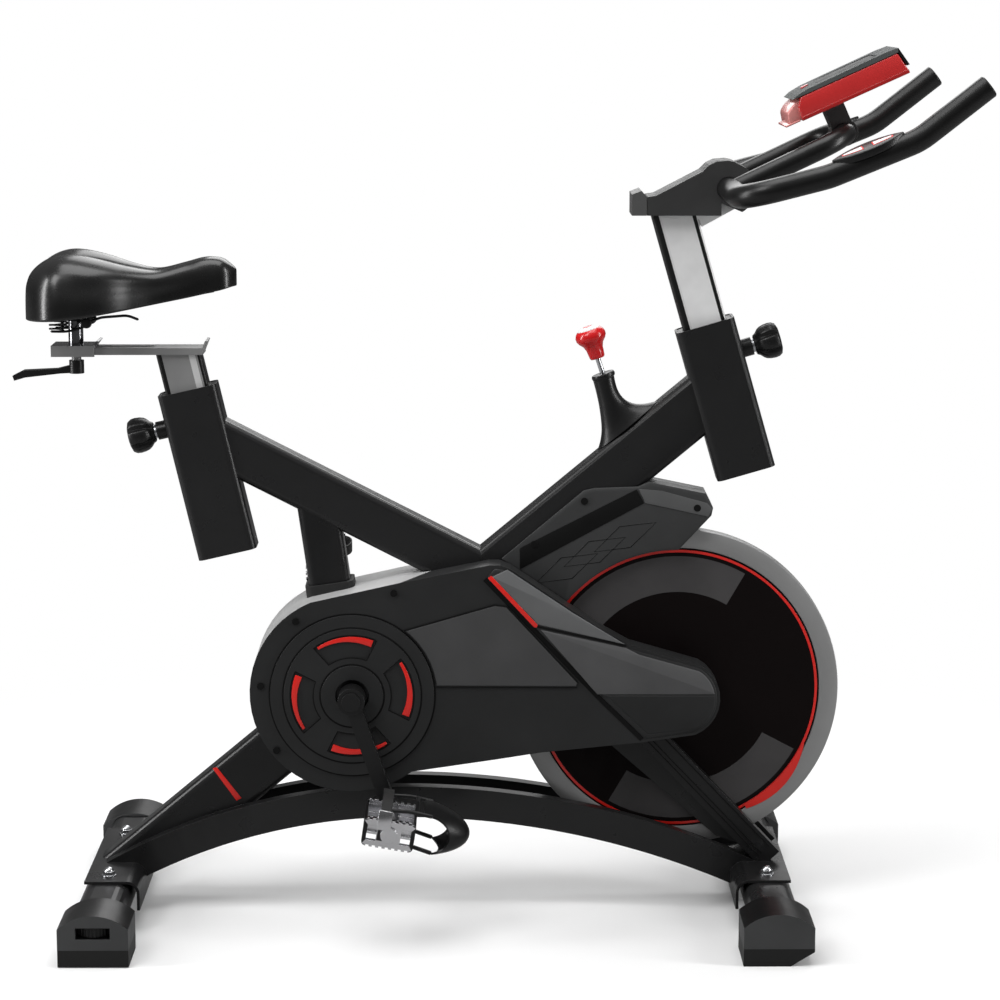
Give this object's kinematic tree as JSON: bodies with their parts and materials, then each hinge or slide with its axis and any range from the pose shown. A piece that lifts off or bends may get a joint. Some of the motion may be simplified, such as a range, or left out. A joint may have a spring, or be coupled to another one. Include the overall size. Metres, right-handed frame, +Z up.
{
  "type": "indoor spin bike",
  "caption": "Belt-driven indoor cycle with a guarded flywheel, sliding saddle and handlebar posts, push brake, toe-cage pedals and a tilting console.",
  "frame": {"origin": "on the floor, in the mid-plane, halfway along the overall length", "axes": "+X towards the handlebar, +Y the rider's left, +Z up"},
  "size_m": [1.188, 0.514, 1.0939],
  "materials": {
    "frame_paint": "satin black powder coat",
    "zinc": "bright zinc",
    "post_steel": "silver grey powder coat",
    "foot_plastic": "moulded, fine texture",
    "black_plastic": "moulded, fine texture",
    "cover_plastic": "satin moulded",
    "grey_plastic": "satin moulded",
    "red_vinyl": "plain vinyl",
    "black_rubber": "matt",
    "bearing_steel": "ground",
    "pulley_alloy": "turned",
    "wheel_iron": "machined rim",
    "crank_paint": "black",
    "saddle_skin": "glossy synthetic leather",
    "bar_grip": "dipped soft coat",
    "pad_steel": "plated sensor pads",
    "red_plastic": "translucent red shell",
    "screen": "dark window",
    "casing_grey": "satin moulded",
    "pedal_alloy": "polished casting",
    "knob_red": "glossy moulded",
    "felt": "dense wool felt"
  },
  "bodies": {
    "base": {"frame": "frame_paint", "rear_stabilizer": "frame_paint", "front_stabilizer": "frame_paint", "dome_bolts": "zinc", "right_rear_foot": "foot_plastic", "left_rear_foot": "foot_plastic", "right_front_foot": "foot_plastic", "left_front_foot": "foot_plastic", "post_bushes": "black_plastic", "bearings": "bearing_steel", "right_cover": "cover_plastic", "left_cover": "casing_grey", "cover_shield": "grey_plastic", "strut_gasket": "black_rubber", "red_trims": "red_vinyl", "crank_disc": "cover_plastic", "wheel_guards": "cover_plastic", "cover_screws": "crank_paint", "drive_belt": "black_rubber", "brake_boot": "black_plastic"},
    "flywheel_body": {"flywheel": "wheel_iron", "flywheel_pulley": "pulley_alloy", "flywheel_discs": "black_plastic", "flywheel_axle": "bearing_steel"},
    "crank_body": {"crank_axle": "bearing_steel", "drive_pulley": "black_plastic", "right_crank": "crank_paint", "left_crank": "crank_paint", "crank_fasteners": "crank_paint"},
    "right_pedal_body": {"right_pedal": "pedal_alloy", "right_toe_clip": "black_plastic"},
    "left_pedal_body": {"left_pedal": "pedal_alloy", "left_toe_clip": "black_plastic"},
    "right_level_wheel_body": {"right_level_wheel": "black_plastic"},
    "left_level_wheel_body": {"left_level_wheel": "black_plastic"},
    "right_level_pad_body": {"right_level_pad": "black_rubber"},
    "left_level_pad_body": {"left_level_pad": "black_rubber"},
    "right_roller_body": {"right_roller": "black_plastic"},
    "left_roller_body": {"left_roller": "black_plastic"},
    "seat_post_body": {"seat_post": "post_steel"},
    "saddle_body": {"saddle_slider": "post_steel", "saddle_frame": "crank_paint", "saddle": "saddle_skin"},
    "saddle_lever_body": {"saddle_lever": "black_plastic"},
    "seat_knob_body": {"seat_knob": "black_plastic"},
    "bar_body": {"bar_post": "post_steel", "stem_shroud": "foot_plastic", "stem_cap": "grey_plastic", "handlebar": "bar_grip", "pulse_pads": "pad_steel"},
    "console_body": {"console_bracket": "grey_plastic", "console_base": "red_plastic", "console_top": "grey_plastic", "console_screen": "screen"},
    "console_button_body": {"console_button": "red_plastic"},
    "head_knob_body": {"head_knob": "black_plastic"},
    "brake_rod_body": {"brake_rod": "zinc"},
    "brake_knob_body": {"brake_knob": "knob_red"},
    "brake_shoe_body": {"brake_shoe": "pulley_alloy", "brake_pad": "felt"}
  },
  "joints": [
    {"name": "flywheel_spin", "type": "hinge", "parent": "base", "child": "flywheel_body", "pos_m": [0.241, 0, 0.286], "axis": [0, 1, 0], "continuous": true},
    {"name": "crank_spin", "type": "hinge", "parent": "base", "child": "crank_body", "pos_m": [-0.17, 0, 0.29], "axis": [0, 1, 0], "continuous": true},
    {"name": "right_pedal_spin", "type": "hinge", "parent": "crank_body", "child": "right_pedal_body", "pos_m": [-0.12116, -0.15, 0.14817], "axis": [0, 1, 0], "continuous": true},
    {"name": "left_pedal_spin", "type": "hinge", "parent": "crank_body", "child": "left_pedal_body", "pos_m": [-0.21884, 0.15, 0.43183], "axis": [0, 1, 0], "continuous": true},
    {"name": "right_level_turn", "type": "hinge", "parent": "base", "child": "right_level_wheel_body", "pos_m": [-0.477, -0.232, 0.043], "axis": [0, 0, 1], "range_deg": [0, 1920]},
    {"name": "right_level_slide", "type": "slide", "parent": "base", "child": "right_level_pad_body", "axis": [0, 0, -1], "range_m": [0, 0.0081]},
    {"name": "left_level_turn", "type": "hinge", "parent": "base", "child": "left_level_wheel_body", "pos_m": [-0.477, 0.232, 0.043], "axis": [0, 0, 1], "range_deg": [0, 1920]},
    {"name": "left_level_slide", "type": "slide", "parent": "base", "child": "left_level_pad_body", "axis": [0, 0, -1], "range_m": [0, 0.0081]},
    {"name": "right_roller_spin", "type": "hinge", "parent": "base", "child": "right_roller_body", "pos_m": [0.3739, -0.23, 0.0196], "axis": [0, 1, 0], "continuous": true},
    {"name": "left_roller_spin", "type": "hinge", "parent": "base", "child": "left_roller_body", "pos_m": [0.3739, 0.23, 0.0196], "axis": [0, 1, 0], "continuous": true},
    {"name": "seat_height", "type": "slide", "parent": "base", "child": "seat_post_body", "axis": [-0.2233, 0, 0.9748], "range_m": [-0.02, 0.16]},
    {"name": "saddle_reach", "type": "slide", "parent": "seat_post_body", "child": "saddle_body", "axis": [1, 0, 0], "range_m": [0, 0.085]},
    {"name": "saddle_lever_turn", "type": "hinge", "parent": "saddle_body", "child": "saddle_lever_body", "pos_m": [-0.514, 0, 0.698], "axis": [0, 0, 1], "range_deg": [-60, 60]},
    {"name": "seat_knob_pull", "type": "slide", "parent": "base", "child": "seat_knob_body", "axis": [-0.9748, 0, -0.2233], "range_m": [0, 0.01]},
    {"name": "bar_height", "type": "slide", "parent": "base", "child": "bar_body", "axis": [-0.2782, 0, 0.9605], "range_m": [-0.09, 0.05]},
    {"name": "console_tilt", "type": "hinge", "parent": "bar_body", "child": "console_body", "pos_m": [0.4406, 0, 0.9899], "axis": [0, 1, 0], "range_deg": [-20, 20]},
    {"name": "console_button_press", "type": "slide", "parent": "console_body", "child": "console_button_body", "axis": [0.4115, 0, -0.9114], "range_m": [0, 0.0015]},
    {"name": "head_knob_pull", "type": "slide", "parent": "base", "child": "head_knob_body", "axis": [0.9605, 0, 0.2782], "range_m": [0, 0.01]},
    {"name": "brake_push", "type": "slide", "parent": "base", "child": "brake_rod_body", "axis": [0.31, 0, -0.9507], "range_m": [0, 0.006], "stiffness_N_per_m": 800},
    {"name": "resistance_turn", "type": "hinge", "parent": "brake_rod_body", "child": "brake_knob_body", "pos_m": [0.1449, 0, 0.6892], "axis": [0.31, 0, -0.9507], "range_deg": [0, 1440]},
    {"name": "pad_press", "type": "slide", "parent": "brake_rod_body", "child": "brake_shoe_body", "axis": [0.31, 0, -0.9507], "range_m": [0, 0.0029]}
  ],
  "couplings": [
    {"joint": "crank_spin", "follows": "flywheel_spin", "ratio": 0.28},
    {"joint": "right_level_slide", "follows": "right_level_turn", "m_per_rad": 0.00023873},
    {"joint": "left_level_slide", "follows": "left_level_turn", "m_per_rad": 0.00023873},
    {"joint": "pad_press", "follows": "resistance_turn", "m_per_rad": 0.00011141}
  ]
}
